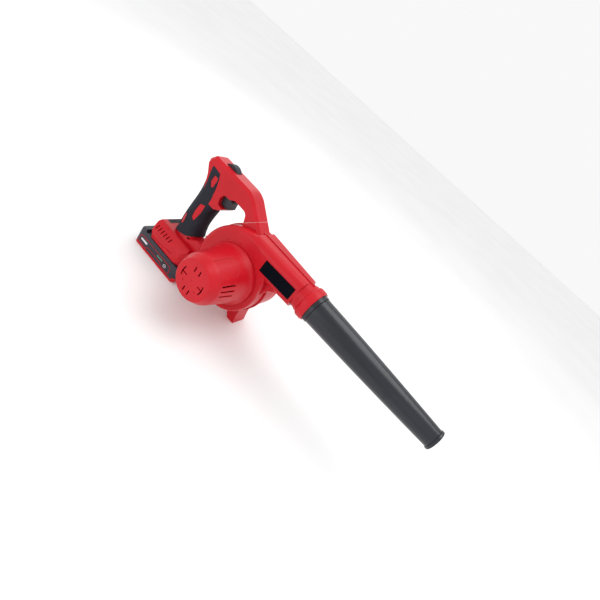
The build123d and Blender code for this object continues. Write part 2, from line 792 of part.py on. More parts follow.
with BuildPart() as trigger_spring:
    with BuildSketch(Plane(origin=(SWITCH_FRONT, 0, TRIGGER_Z), x_dir=(0, 1, 0), z_dir=(1, 0, 0))):
        Circle(PLUNGER_R + 1.6)
        Circle(PLUNGER_R + 0.6, mode=Mode.SUBTRACT)
    extrude(amount=23 - SWITCH_FRONT)
save("trigger_spring", trigger_spring.part)

with BuildPart() as switch_body:
    with BuildSketch(Plane(origin=(SWITCH_FRONT, 0, TRIGGER_Z), x_dir=(0, 1, 0), z_dir=(-1, 0, 0))):
        Rectangle(18, 18)
    extrude(amount=SWITCH_L)
    fillet(switch_body.edges(), 1.0)
    with BuildSketch(Plane(origin=(SWITCH_FRONT, 0, TRIGGER_Z), x_dir=(0, 1, 0), z_dir=(-1, 0, 0))):
        Circle(PLUNGER_R + 0.3)
    extrude(amount=3 + TRIGGER_TRAVEL + 1.5, mode=Mode.SUBTRACT)
save("switch_body", switch_body.part)

with BuildPart() as speed_dial:
    with BuildSketch(cross_plane(DIAL_X, 0, DIAL_Z)):
        Circle(DIAL_R)
        with PolarLocations(DIAL_R + 0.3, 30):
            Circle(0.7, mode=Mode.SUBTRACT)
    extrude(amount=DIAL_W / 2, both=True)
    with BuildSketch(cross_plane(DIAL_X, 0, DIAL_Z)):
        Circle(DIAL_PIN_R)
    extrude(amount=DIAL_W / 2 + 4, both=True)
save("speed_dial", speed_dial.part)

with BuildPart() as speed_sensor:
    with BuildSketch(cross_plane(DIAL_X, DIAL_W / 2 + DIAL_GAP, DIAL_Z)):
        Circle(5.4)
    extrude(amount=-5)
    with BuildSketch(cross_plane(DIAL_X, DIAL_W / 2 + DIAL_GAP, DIAL_Z)):
        Circle(DIAL_PIN_R + PIN_GAP)
    extrude(amount=-4, mode=Mode.SUBTRACT)
save("speed_sensor", speed_sensor.part)

# ------------------------------------------------------------ collar and badge
LUG_X = COLLAR_X + 6.0
LUG_L = 2.2
LUG_GAP = 0.5
with BuildPart() as outlet_collar:
    add(tube_of([
        (COLLAR_X - 4, DUCT_R), (COLLAR_X - 4, DUCT_R + 1.2), (COLLAR_X, DUCT_R + 1.4),
        (COLLAR_X + 1, COLLAR_R - 1), (COLLAR_X + 3, COLLAR_R), (COLLAR_X + COLLAR_L - 3, COLLAR_R),
        (COLLAR_X + COLLAR_L, COLLAR_R - 1.2), (COLLAR_X + COLLAR_L, SOCKET_R),
        (LUG_X + LUG_L + LUG_GAP, SOCKET_R), (LUG_X + LUG_L + LUG_GAP, SOCKET_R + LUG_H),
        (LUG_X - LUG_GAP, SOCKET_R + LUG_H), (LUG_X - LUG_GAP, SOCKET_R), (COLLAR_X + 2, SOCKET_R),
        (COLLAR_X + 2, DUCT_BORE), (COLLAR_X, DUCT_BORE), (COLLAR_X, DUCT_R),
    ]))
    with BuildSketch(duct_plane(LUG_X + LUG_L)):
        with PolarLocations(SOCKET_R, 3, start_angle=30):
            Rectangle(2 * LUG_H, 5.6)
    extrude(amount=COLLAR_L, mode=Mode.SUBTRACT)
save("outlet_collar", outlet_collar.part)

with BuildPart() as outlet_gasket:
    add(tube_of([
        (COLLAR_X + 2, DUCT_BORE + 0.2), (COLLAR_X + 2, SOCKET_R), (COLLAR_X + 2.5, SOCKET_R),
        (COLLAR_X + 2.5, DUCT_BORE + 0.2),
    ]))
save("outlet_gasket", outlet_gasket.part)

BADGE_L = 57.0
BADGE_H = 19.5
BADGE_X = 175.5
FLANK_FALL = NEAR_DEPTH - DUCT_R
FLANK_RUN = BOX_END - FAN_X
badge_y = -(NEAR_DEPTH - FLANK_FALL * (BADGE_X - FAN_X) / FLANK_RUN)
flank = Plane(
    origin=(BADGE_X, badge_y, DUCT_Z - 1),
    x_dir=(FLANK_RUN, FLANK_FALL, 0), z_dir=(FLANK_FALL, -FLANK_RUN, 0),
)
with BuildPart() as badge_plate:
    with BuildSketch(flank):
        RectangleRounded(BADGE_L, BADGE_H, 0.8)
    extrude(amount=0.6)
save("badge_plate", badge_plate.part)

# ------------------------------------------------------------------- nozzle
SPIGOT_R = RING_R - 2.1
SPIGOT_X = COLLAR_X + 3
TUBE_X = COLLAR_X + COLLAR_L + RING_L + RUN_GAP

with BuildPart() as nozzle_tube:
    with BuildSketch(Plane(origin=(0, 0, DUCT_Z), x_dir=(1, 0, 0), z_dir=(0, -1, 0))):
        with BuildLine():
            reach = TUBE_END - TUBE_X
            outer = Spline(
                (TUBE_X, TUBE_R), (TUBE_X + reach * 0.5, (TUBE_R + TIP_R) / 2 + 0.7), (TUBE_END, TIP_R)
            )
            inner = Spline(
                (TUBE_END, TIP_R - NOZZLE_WALL),
                (TUBE_X + reach * 0.5, (TUBE_R + TIP_R) / 2 + 0.7 - NOZZLE_WALL),
                (SPIGOT_X, SPIGOT_R - NOZZLE_WALL),
            )
            Line(outer @ 1, inner @ 0)
            Polyline(inner @ 1, (SPIGOT_X, SPIGOT_R), (TUBE_X, SPIGOT_R), outer @ 0)
        make_face()
    revolve(axis=DUCT_LINE)
save("nozzle_tube", nozzle_tube.part)

with BuildPart() as nozzle_tip_ring:
    add(tube_of([
        (TUBE_END, TIP_R - NOZZLE_WALL), (TUBE_END, TIP_RING_R - 0.6), (TUBE_END + 0.8, TIP_RING_R),
        (TUBE_END + TIP_RING_L - 0.8, TIP_RING_R), (TUBE_END + TIP_RING_L, TIP_RING_R - 0.8),
        (TUBE_END + TIP_RING_L, TIP_R - NOZZLE_WALL),
    ]))
save("nozzle_tip_ring", nozzle_tip_ring.part)

with BuildPart() as nozzle_lock_ring:
    with BuildSketch(duct_plane(COLLAR_X + 3)):
        Circle(RING_R)
        Circle(SPIGOT_R + 0.3, mode=Mode.SUBTRACT)
    extrude(amount=TUBE_X - RUN_GAP - COLLAR_X - 3)
    with BuildSketch(duct_plane(LUG_X)):
        with PolarLocations(RING_R, 3, start_angle=30):
            Rectangle(2 * (LUG_H - 0.2), 4.4)
        Circle(RING_R - 0.6, mode=Mode.SUBTRACT)
    extrude(amount=LUG_L)
    # alignment notch, low on the right side
    with BuildSketch(duct_plane(COLLAR_X + COLLAR_L + 1.5)):
        with PolarLocations(RING_R, 1, start_angle=215):
            Rectangle(1.4, 3)
    extrude(amount=3, mode=Mode.SUBTRACT)
save("nozzle_lock_ring", nozzle_lock_ring.part)

# ------------------------------------------------------------ motor housing
BARREL_BASE_Y = -NEAR_DEPTH - 14


def barrel_solid(inset):
    """Solid form of the motor barrel, taken in by inset."""
    return ring_of([
        (0, -20), (BARREL_FOOT_R - inset, -20), (BARREL_FOOT_R - inset, -NEAR_DEPTH - 2),
        (BARREL_R + 1.8 - inset, -NEAR_DEPTH - 7), (BARREL_R - inset, BARREL_BASE_Y),
        (BARREL_END_R - inset, BARREL_END_Y), (0, BARREL_END_Y),
    ])


def barrel_side_plane(angle, height):
    """Plane facing out of the barrel at an angle from +X, sketched along -Y."""
    outward = (cos(radians(angle)), 0, sin(radians(angle)))
    origin = (FAN_X + outward[0] * 20, height, FAN_Z + outward[2] * 20)
    return Plane(origin=origin, x_dir=(0, -1, 0), z_dir=outward)


with BuildPart() as panel_prisms:
    for panel_angle in (65, 245):
        with BuildSketch(barrel_side_plane(panel_angle, -76)):
            RectangleRounded(46, 26, 6)
        extrude(amount=40)

with BuildPart() as panel_pockets:
    add(barrel_solid(0))
    add(barrel_solid(0.7), mode=Mode.SUBTRACT)
    add(panel_prisms.part, mode=Mode.INTERSECT)

with BuildPart() as barrel_vents:
    for vent_angle in (27, 15, 3, 207, 195, 183):
        with BuildSketch(barrel_side_plane(vent_angle, -72)):
            SlotOverall(25, 2.2)
        extrude(amount=40)

with BuildPart() as motor_housing:
    add(barrel_solid(0))
    add(barrel_solid(WALL), mode=Mode.SUBTRACT)
    with BuildSketch(fan_plane(BARREL_END_Y)):
        Circle(BARREL_END_R - WALL)
    extrude(amount=-10, mode=Mode.SUBTRACT)
    add(volute_outer.part, mode=Mode.SUBTRACT)
    add(panel_pockets.part, mode=Mode.SUBTRACT)
    add(barrel_vents.part, mode=Mode.SUBTRACT)
save("motor_housing", motor_housing.part)

CAP_FACE_T = 2.2
with BuildPart() as motor_end_cap:
    add(ring_of([
        (BARREL_END_R, BARREL_END_Y), (BARREL_END_R - 0.4, BARREL_END_Y - 2), (CAP_R + 1.2, CAP_Y + 0.8),
        (CAP_R, CAP_Y), (0, CAP_Y), (0, CAP_Y + CAP_FACE_T), (CAP_R - 1.5, CAP_Y + CAP_FACE_T),
        (BARREL_END_R - 2.7, BARREL_END_Y - 2), (BARREL_END_R - 4.2, BARREL_END_Y + 4),
        (BARREL_END_R - WALL - 0.3, BARREL_END_Y + 4), (BARREL_END_R - WALL - 0.3, BARREL_END_Y),
    ]))
    with BuildSketch(fan_plane(CAP_Y + CAP_FACE_T + 1)):
        with Locations((-4.5, 16), (4.5, 16), (-4.5, -18), (4.5, -18)):
            SlotOverall(8.5, 2.0, rotation=90)
        for side in (0, 180):
            with PolarLocations(19.5, 9, start_angle=side - 22, angular_range=44):
                Circle(1.1)
            with PolarLocations(15, 1, start_angle=side):
                Rectangle(8, 1.8)
    extrude(amount=CAP_FACE_T + 2, mode=Mode.SUBTRACT)
    with BuildSketch(fan_plane(CAP_Y + 0.7)):
        Circle(1.3)
        with Locations((-12, -9.5), (12, -9.5)):
            Circle(1.3)
    extrude(amount=2, mode=Mode.SUBTRACT)
save("motor_end_cap", motor_end_cap.part)

# -------------------------------------------------------------------- motor
BEARING_R = 6.4
CAN_T = 1.5
with BuildPart() as motor_can:
    add(ring_of([
        (BEARING_R, MOTOR_FRONT), (MOTOR_R, MOTOR_FRONT), (MOTOR_R, MOTOR_REAR),
        (MOTOR_R - CAN_T, MOTOR_REAR), (MOTOR_R - CAN_T, MOTOR_FRONT - 2), (BEARING_R, MOTOR_FRONT - 2),
    ]))
    with BuildSketch(fan_plane(MOTOR_FRONT + 1)):
        with PolarLocations(MOTOR_SCREW_R, 2, start_angle=90):
            Circle(SCREW_R + PIN_GAP)
    extrude(amount=5, mode=Mode.SUBTRACT)
save("motor_can", motor_can.part)

with BuildPart() as motor_bearings:
    for bearing_y in (MOTOR_FRONT + 1, MOTOR_REAR + 5):
        with BuildSketch(fan_plane(bearing_y)):
            Circle(BEARING_R)
            Circle(SHAFT_R + PIN_GAP, mode=Mode.SUBTRACT)
        extrude(amount=4)
save("motor_bearings", motor_bearings.part)

with BuildPart() as motor_end_bell:
    with BuildSketch(fan_plane(MOTOR_REAR + 4.5)):
        Circle(MOTOR_R - CAN_T)
        Circle(BEARING_R, mode=Mode.SUBTRACT)
        with PolarLocations(14, 4, start_angle=45):
            Circle(2.5, mode=Mode.SUBTRACT)
    extrude(amount=4.5)
    with BuildSketch(fan_plane(MOTOR_REAR + 12)):
        with PolarLocations(10, 2, start_angle=0):
            Rectangle(5, 5)
    extrude(amount=7.5)
save("motor_end_bell", motor_end_bell.part)

with BuildPart() as motor_magnets:
    with BuildSketch(fan_plane(MOTOR_FRONT - 5)):
        Circle(MOTOR_R - CAN_T)
        Circle(16, mode=Mode.SUBTRACT)
        Rectangle(9, 60, mode=Mode.SUBTRACT)
    extrude(amount=32)
save("motor_magnets", motor_magnets.part)

with BuildPart() as motor_screws:
    with BuildSketch(fan_plane(MOTOR_SEAT_Y)):
        with PolarLocations(MOTOR_SCREW_R, 2, start_angle=90):
            Circle(SCREW_HEAD_R)
    extrude(amount=-1.8)
    with BuildSketch(fan_plane(MOTOR_SEAT_Y)):
        with PolarLocations(MOTOR_SCREW_R, 2, start_angle=90):
            Circle(SCREW_R)
    extrude(amount=MOTOR_SEAT_Y - MOTOR_FRONT + 1.8)
save("motor_screws", motor_screws.part)

# ----------------------------------------------------------- rotor assembly
IMPELLER_BACK = -18.0
IMPELLER_DEPTH = 38.0
HUB_R = 9.0
with BuildPart() as motor_shaft:
    with BuildSketch(fan_plane(9)):
        Circle(SHAFT_R)
    extrude(amount=104)
save("motor_shaft", motor_shaft.part)

with BuildPart() as motor_armature:
    with BuildSketch(fan_plane(MOTOR_FRONT - 7)):
        Circle(15.2)
        Circle(SHAFT_R, mode=Mode.SUBTRACT)
        with PolarLocations(14.6, 5):
            Rectangle(4, 2.4, mode=Mode.SUBTRACT)
    extrude(amount=26)
    with BuildSketch(fan_plane(MOTOR_FRONT - 33)):
        Circle(6)
        Circle(SHAFT_R, mode=Mode.SUBTRACT)
    extrude(amount=9)
save("motor_armature", motor_armature.part)

with BuildPart() as cooling_fan:
    with BuildSketch(fan_plane(MOTOR_REAR - 2)):
        Circle(6)
        Circle(SHAFT_R, mode=Mode.SUBTRACT)
    extrude(amount=6)
    with BuildSketch(fan_plane(MOTOR_REAR - 7)):
        Circle(24)
        Circle(SHAFT_R, mode=Mode.SUBTRACT)
    extrude(amount=1.2)
    with BuildSketch(fan_plane(MOTOR_REAR - 2)):
        with PolarLocations(14.5, 9):
            Rectangle(18, 1.2)
    extrude(amount=6)
save("cooling_fan", cooling_fan.part)


def blade_outline(turn):
    """Backward curved impeller blade as (x, z) from the fan axis, turned by turn degrees."""
    with BuildSketch(fan_plane(IMPELLER_BACK)) as outline:
        with BuildLine():
            pressure = ThreePointArc((17, 0), (30, 9.5), (41.8, 12))
            suction = ThreePointArc((42.2, 10.4), (31, 8.0), (18.2, -1))
            Line(pressure @ 1, suction @ 0)
            Line(suction @ 1, pressure @ 0)
        make_face()
    return outline.sketch.face().rotate(Axis((FAN_X, 0, FAN_Z), (0, -1, 0)), turn)


with BuildPart() as impeller:
    with BuildSketch(fan_plane(IMPELLER_BACK)):
        Circle(IMPELLER_R)
        Circle(SHAFT_R, mode=Mode.SUBTRACT)
    extrude(amount=2)
    with BuildSketch(fan_plane(IMPELLER_BACK)):
        Circle(HUB_R)
        Circle(SHAFT_R, mode=Mode.SUBTRACT)
    extrude(amount=-22)
    for blade in range(BLADES):
        extrude(blade_outline(blade * 360 / BLADES), amount=-IMPELLER_DEPTH)
    with BuildSketch(fan_plane(IMPELLER_BACK + IMPELLER_DEPTH)):
        Circle(IMPELLER_R)
        Circle(EYE_R + 1, mode=Mode.SUBTRACT)
    extrude(amount=-2)
save("impeller", impeller.part)

with BuildPart() as impeller_nut:
    with BuildSketch(fan_plane(IMPELLER_BACK + 22)):
        RegularPolygon(4.6, 6)
        Circle(SHAFT_R, mode=Mode.SUBTRACT)
    extrude(amount=-4)
save("impeller_nut", impeller_nut.part)

# ------------------------------------------------------------- inlet grille
GRILLE_R = 40.0
GRILLE_RISE = 6.0
GRILLE_BARS = 12
with BuildPart() as intake_grille:
    add(ring_of([
        (INLET_R + 4, FAR_DEPTH), (GRILLE_R, FAR_DEPTH), (GRILLE_R, FAR_DEPTH + 3),
        (GRILLE_R - 3, FAR_DEPTH + GRILLE_RISE), (INLET_R + 2, FAR_DEPTH + GRILLE_RISE),
    ]))
    with BuildSketch(fan_plane(FAR_DEPTH + GRILLE_RISE)):
        Circle(9)
        Circle(22)
        Circle(20.2, mode=Mode.SUBTRACT)
        Circle(9)
        with PolarLocations(20.5, GRILLE_BARS):
            Rectangle(27, 2.2)
    extrude(amount=2.5)
save("intake_grille", intake_grille.part)

GRILLE_SCREWS = 3
with BuildPart() as grille_screws:
    with BuildSketch(fan_plane(FAR_DEPTH + GRILLE_RISE)):
        with PolarLocations(GRILLE_R - 4.6, GRILLE_SCREWS, start_angle=90):
            Circle(1.9)
    extrude(amount=-0.9)
save("grille_screws", grille_screws.part)

# ------------------------------------------------------------- battery pack
CELL_PITCH = 2 * CELL_R + 0.2
CELL_Z = BASE_T + CELL_R + 1.1
CELL_FIRST = -PACK_L / 2 + CASE_WALL + CELL_R + 0.3
REAR_BEVEL_Z = 21.0
LATCH_X = -42.5
LATCH_L = 7.0
LATCH_W = 20.0
GAUGE_X = 23.0
GAUGE_Z = 12.0
GAUGE_R = 3.75
half_l = PACK_L / 2
half_w = PACK_W / 2
STEP_X = half_l - 7.5

BASE_SIDE = [
    (-half_l, 1.5), (-half_l + 1.5, 0), (half_l - 5, 0), (half_l, 5.5), (half_l, BASE_STEP),
    (STEP_X + 2, BASE_STEP), (STEP_X, BASE_T), (-half_l, BASE_T),
]
CASE_SIDE = [
    (-half_l, BASE_T), (STEP_X, BASE_T), (STEP_X + 2, BASE_STEP), (half_l, BASE_STEP), (half_l, PACK_H - 4),
    (half_l - 4, PACK_H), (-36, PACK_H), (-38, HUMP_TOP), (-46, HUMP_TOP), (-half_l, REAR_BEVEL_Z),
]

with BuildPart() as pack_plan:
    with BuildSketch(Plane.XY):
        RectangleRounded(PACK_L, PACK_W, 7)
    extrude(amount=60)

with BuildPart() as battery_base:
    extrude(side_face(BASE_SIDE, [0] * 8), amount=half_w, both=True)
    add(pack_plan.part, mode=Mode.INTERSECT)
save("battery_base", battery_base.part)

with BuildPart() as battery_case:
    extrude(side_face(CASE_SIDE, [0] * 10), amount=half_w, both=True)
    add(pack_plan.part, mode=Mode.INTERSECT)
    # rail deck that slides into the foot
    with BuildSketch(Plane.XY.offset(PACK_H - 1)):
        with Locations(((CHANNEL_END - 0.6 - 38) / 2, 0)):
            Rectangle(CHANNEL_END - 0.6 + 38, NECK_W)
    extrude(amount=DECK_TOP - PACK_H + 1)
    with BuildSketch(Plane.XY.offset(RAIL_Z + RUN_GAP)):
        with Locations(((CHANNEL_END - 0.6 - 38) / 2, 0)):
            Rectangle(CHANNEL_END - 0.6 + 38, DECK_W)
    extrude(amount=DECK_TOP - RAIL_Z - RUN_GAP)
    # room for the cells and for the pack's circuit board
    with BuildSketch(Plane.XY.offset(BASE_T)):
        Rectangle(PACK_L - 2 * CASE_WALL, PACK_W - 2 * CASE_WALL)
    extrude(amount=PACK_H - CASE_WALL - BASE_T, mode=Mode.SUBTRACT)
    with BuildSketch(Plane.XY.offset(BASE_T)):
        with Locations((-13, 0)):
            Rectangle(42, 35)
    extrude(amount=DECK_TOP - CASE_WALL - BASE_T, mode=Mode.SUBTRACT)
    # slots for the terminal blades, open at the front
    with BuildSketch(Plane.XY.offset(RAIL_Z - 2.5)):
        for blade in range(4):
            with Locations(((CHANNEL_END + 12) / 2, (blade - 1.5) * BLADE_PITCH)):
                Rectangle(CHANNEL_END - 12, 2.4)
    extrude(amount=20, mode=Mode.SUBTRACT)
    # well for the latch button and hole for the gauge button
    with BuildSketch(Plane.XY.offset(PACK_H - CASE_WALL + 1.5)):
        with Locations((LATCH_X, 0)):
            Rectangle(LATCH_L + 0.8, LATCH_W + 0.8)
    extrude(amount=20, mode=Mode.SUBTRACT)
    with BuildSketch(cross_plane(GAUGE_X, -half_w + CASE_WALL + 1, GAUGE_Z)):
        Circle(GAUGE_R + 0.3)
    extrude(amount=CASE_WALL + 3, mode=Mode.SUBTRACT)
save("battery_case", battery_case.part)

with BuildPart() as battery_cells:
    for cell in range(CELL_COUNT):
        with BuildSketch(cross_plane(CELL_FIRST + cell * CELL_PITCH, 0, CELL_Z)):
            Circle(CELL_R)
        extrude(amount=CELL_L / 2, both=True)
save("battery_cells", battery_cells.part)

with BuildPart() as cell_holders:
    for side in (-1, 1):
        with BuildSketch(Plane.XZ.offset(side * (CELL_L / 2 + 0.1))):
            with Locations((-2.5, CELL_Z)):
                Rectangle(PACK_L - 14, 2 * CELL_R - 1)
        extrude(amount=side * 1.4)
save("cell_holders", cell_holders.part)

with BuildPart() as battery_board:
    with BuildSketch(Plane.XY.offset(PACK_H + 1)):
        with Locations((-13, 0)):
            Rectangle(40, 33)
    extrude(amount=1.6)
    with BuildSketch(Plane.XY.offset(PACK_H + 2.6)):
        with Locations((-24, 0), (-10, 8), (-10, -8)):
            Rectangle(8, 9)
    extrude(amount=2)
save("battery_board", battery_board.part)

with BuildPart() as battery_terminals:
    for blade in range(4):
        for side in (-1, 1):
            with BuildSketch(Plane.XY.offset(RAIL_Z - 2)):
                with Locations((BLOCK_X, (blade - 1.5) * BLADE_PITCH + side * 0.95)):
                    Rectangle(12, 0.5)
            extrude(amount=6)
save("battery_terminals", battery_terminals.part)

TRIM_SIDE = [(-44, 5.5), (-23, 5.5), (-20, 9.5), (12, 9.5), (15, 5.5), (35, 5.5), (35, 19.5), (-44, 19.5)]
TRIM_RADII = [4, 2, 1.5, 1.5, 2, 4, 6, 6]
with BuildPart() as battery_trim:
    for side in (-1, 1):
        trim = side_face(TRIM_SIDE, TRIM_RADII)
        inner_trim = inset_side_face(TRIM_SIDE, TRIM_RADII, 0.9)
        extrude((trim - inner_trim).face().translate((0, side * half_w, 0)), amount=-side * 0.3)
save("battery_trim", battery_trim.part)

with BuildPart() as battery_badge:
    with BuildSketch(cross_plane(-32, -half_w, GAUGE_Z + 1)):
        RectangleRounded(15, 3.2, 0.8)
    extrude(amount=0.3)
save("battery_badge", battery_badge.part)

with BuildPart() as gauge_lamps:
    with BuildSketch(cross_plane(8, -half_w, 14.6)):
        with GridLocations(3.2, 0, 4, 1):
            RectangleRounded(2.4, 1.3, 0.4)
    extrude(amount=0.3)
save("gauge_lamps", gauge_lamps.part)

with BuildPart() as gauge_button:
    with BuildSketch(cross_plane(GAUGE_X, -half_w + 2.1, GAUGE_Z)):
        Circle(GAUGE_R)
    extrude(amount=2.6)
    fillet(gauge_button.edges().sort_by(Axis.Y)[0], 0.4)
save("gauge_button", gauge_button.part)

with BuildPart() as battery_latch:
    with BuildSketch(Plane.XY.offset(PACK_H + 2.2)):
        with Locations((LATCH_X, 0)):
            Rectangle(LATCH_L, LATCH_W)
    extrude(amount=HUMP_TOP + 1 - PACK_H - 2.2)
    fillet(battery_latch.edges().group_by(Axis.Z)[-1], 0.6)
save("battery_latch", battery_latch.part)

with BuildPart() as latch_spring:
    with BuildSketch(Plane.XY.offset(PACK_H - CASE_WALL + 1.5)):
        with Locations((LATCH_X, 0)):
            Circle(3.0)
            Circle(2.2, mode=Mode.SUBTRACT)
    extrude(amount=CASE_WALL + 0.7)
save("latch_spring", latch_spring.part)
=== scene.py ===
import json
import math

import bmesh
import bpy
from mathutils import Matrix, Vector
from mathutils.bvhtree import BVHTree


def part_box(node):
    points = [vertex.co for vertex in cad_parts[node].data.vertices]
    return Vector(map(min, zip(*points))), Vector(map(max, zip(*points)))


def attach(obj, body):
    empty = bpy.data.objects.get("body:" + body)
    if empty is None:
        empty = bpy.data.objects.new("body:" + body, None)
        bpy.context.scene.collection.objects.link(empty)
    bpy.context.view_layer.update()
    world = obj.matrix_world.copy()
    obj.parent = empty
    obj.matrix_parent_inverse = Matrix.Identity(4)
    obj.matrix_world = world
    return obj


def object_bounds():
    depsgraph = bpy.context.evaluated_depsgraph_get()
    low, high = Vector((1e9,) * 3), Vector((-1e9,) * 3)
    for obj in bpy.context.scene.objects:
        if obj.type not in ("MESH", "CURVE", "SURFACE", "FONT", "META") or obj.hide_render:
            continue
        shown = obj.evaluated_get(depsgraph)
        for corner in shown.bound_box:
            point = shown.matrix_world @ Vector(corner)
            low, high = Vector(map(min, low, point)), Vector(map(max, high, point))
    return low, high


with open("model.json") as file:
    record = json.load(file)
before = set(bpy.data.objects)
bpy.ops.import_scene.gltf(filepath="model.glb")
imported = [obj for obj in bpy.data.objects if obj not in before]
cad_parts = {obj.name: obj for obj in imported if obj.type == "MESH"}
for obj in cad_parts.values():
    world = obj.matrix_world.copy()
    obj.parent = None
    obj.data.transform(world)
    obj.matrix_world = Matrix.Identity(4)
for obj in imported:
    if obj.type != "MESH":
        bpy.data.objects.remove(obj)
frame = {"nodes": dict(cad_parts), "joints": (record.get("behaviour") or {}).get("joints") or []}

CAD_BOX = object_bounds()
NODES = frame["nodes"]
MM = 0.001

# Axes and places read from the frame
ROTOR = next(j for j in frame["joints"] if j["name"] == "rotor_spin")["pos_m"]
RING = next(j for j in frame["joints"] if j["name"] == "lock_ring_turn")["pos_m"]
FAN_X, FAN_Z = ROTOR[0], ROTOR[2]
DUCT_Z = RING[2]

# ------------------------------------------------------------------ camera
CAMERA_AT = Vector((0.338, -0.49745, 0.40040))
CAMERA_RIGHT = Vector((0.65377824, 0.48343186, 0.58212339))
CAMERA_UP = Vector((-0.72487074, 0.17939388, 0.66511672))
CAMERA_BACK = Vector((0.21710924, -0.85680305, 0.46770943))

camera_data = bpy.data.cameras.new("camera")
camera_data.sensor_width = 36.0
camera_data.lens = 24.93
camera_data.clip_start = 0.01
camera = bpy.data.objects.new("camera", camera_data)
bpy.context.scene.collection.objects.link(camera)
turn = Matrix((CAMERA_RIGHT, CAMERA_UP, CAMERA_BACK)).transposed().to_4x4()
camera.matrix_world = Matrix.Translation(CAMERA_AT) @ turn
bpy.context.scene.camera = camera


# --------------------------------------------------------------- materials
def noise(tree, scale, detail=3.0, stretch=(1, 1, 1)):
    """Noise over the object's own coordinates; stretch below 1 draws it out along that axis."""
    coords = tree.nodes.new("ShaderNodeTexCoord")
    mapping = tree.nodes.new("ShaderNodeMapping")
    mapping.inputs["Scale"].default_value = stretch
    texture = tree.nodes.new("ShaderNodeTexNoise")
    texture.inputs["Scale"].default_value = scale
    texture.inputs["Detail"].default_value = detail
    tree.links.new(coords.outputs["Object"], mapping.inputs["Vector"])
    tree.links.new(mapping.outputs["Vector"], texture.inputs["Vector"])
    return texture.outputs["Fac"]


def bands(tree, scale):
    """Fine regular lines across Y, as on wound wire."""
    coords = tree.nodes.new("ShaderNodeTexCoord")
    wave = tree.nodes.new("ShaderNodeTexWave")
    wave.bands_direction = "Y"
    wave.inputs["Scale"].default_value = scale
    tree.links.new(coords.outputs["Object"], wave.inputs["Vector"])
    return wave.outputs["Fac"]


def mixed_color(tree, value, first, second):
    """Colour that goes from first to second over the middle of the value's range."""
    ramp = tree.nodes.new("ShaderNodeValToRGB")
    ramp.color_ramp.elements[0].position = 0.35
    ramp.color_ramp.elements[1].position = 0.65
    ramp.color_ramp.elements[0].color = (*first, 1)
    ramp.color_ramp.elements[1].color = (*second, 1)
    tree.links.new(value, ramp.inputs["Fac"])
    return ramp.outputs["Color"]


def remapped(tree, value, low, high):
    """The value's middle range stretched from low to high."""
    node = tree.nodes.new("ShaderNodeMapRange")
    node.inputs["From Min"].default_value = 0.3
    node.inputs["From Max"].default_value = 0.7
    node.inputs["To Min"].default_value = low
    node.inputs["To Max"].default_value = high
    tree.links.new(value, node.inputs["Value"])
    return node.outputs["Result"]


def finish_of(name, first, second, rough, patch=40.0, grain=900.0, depth=0.03, metallic=0.0,
              coat=0.0, stretch=(1, 1, 1), lines=None, specular=0.5, glow=0.0):
    """Material with patchy colour and roughness and a fine grain in its surface."""
    material = bpy.data.materials.new(name)
    material.use_nodes = True
    tree = material.node_tree
    shader = tree.nodes["Principled BSDF"]
    patches = noise(tree, patch, 4.0, stretch)
    tree.links.new(mixed_color(tree, patches, first, second), shader.inputs["Base Color"])
    tree.links.new(remapped(tree, patches, *rough), shader.inputs["Roughness"])
    bump = tree.nodes.new("ShaderNodeBump")
    bump.inputs["Distance"].default_value = depth * MM
    bump.inputs["Strength"].default_value = 1.0
    height = bands(tree, lines) if lines else noise(tree, grain, 2.0, stretch)
    tree.links.new(height, bump.inputs["Height"])
    tree.links.new(bump.outputs["Normal"], shader.inputs["Normal"])
    shader.inputs["Metallic"].default_value = metallic
    shader.inputs["Coat Weight"].default_value = coat
    shader.inputs["Coat Roughness"].default_value = 0.18
    shader.inputs["Specular IOR Level"].default_value = specular
    if glow:
        shader.inputs["Emission Color"].default_value = (*second, 1)
        shader.inputs["Emission Strength"].default_value = glow
    return material


RED = finish_of("red_plastic", (0.50, 0.005, 0.013), (0.56, 0.007, 0.017), (0.28, 0.38),
                patch=25, grain=1500, depth=0.012, coat=0.04, specular=0.22)
RUBBER = finish_of("grip_rubber", (0.014, 0.015, 0.022), (0.022, 0.024, 0.034), (0.62, 0.80),
                   patch=60, grain=2600, depth=0.06, specular=0.2)
NOZZLE = finish_of("nozzle_plastic", (0.008, 0.010, 0.015), (0.015, 0.018, 0.026), (0.22, 0.30),
                   patch=90, grain=700, depth=0.015, coat=0.1, stretch=(0.06, 1, 1),
                   specular=0.4)
BLACK = finish_of("black_plastic", (0.012, 0.013, 0.020), (0.020, 0.021, 0.030), (0.42, 0.58),
                  patch=80, grain=3000, depth=0.05)
PACK = finish_of("pack_plastic", (0.013, 0.013, 0.024), (0.020, 0.020, 0.034), (0.36, 0.50),
                 patch=70, grain=2600, depth=0.04)
BADGE = finish_of("badge_film", (0.002, 0.003, 0.006), (0.004, 0.005, 0.009), (0.60, 0.72),
                  patch=900, grain=5200, depth=0.03, specular=0.03)
STEEL = finish_of("zinc_steel", (0.46, 0.47, 0.50), (0.60, 0.61, 0.63), (0.25, 0.42),
                  patch=300, grain=4000, depth=0.01, metallic=1.0)
CAN = finish_of("drawn_steel", (0.30, 0.31, 0.33), (0.42, 0.43, 0.45), (0.30, 0.45),
                patch=120, grain=1800, depth=0.01, metallic=1.0)
BRASS = finish_of("brass", (0.60, 0.38, 0.12), (0.75, 0.52, 0.20), (0.22, 0.38),
                  patch=300, grain=4000, depth=0.01, metallic=1.0)
WINDING = finish_of("copper_winding", (0.50, 0.16, 0.05), (0.68, 0.27, 0.10), (0.30, 0.45),
                    patch=200, depth=0.15, metallic=1.0, lines=700)
MAGNET = finish_of("ferrite", (0.030, 0.028, 0.030), (0.050, 0.048, 0.050), (0.55, 0.75),
                   patch=300, grain=3000, depth=0.04)
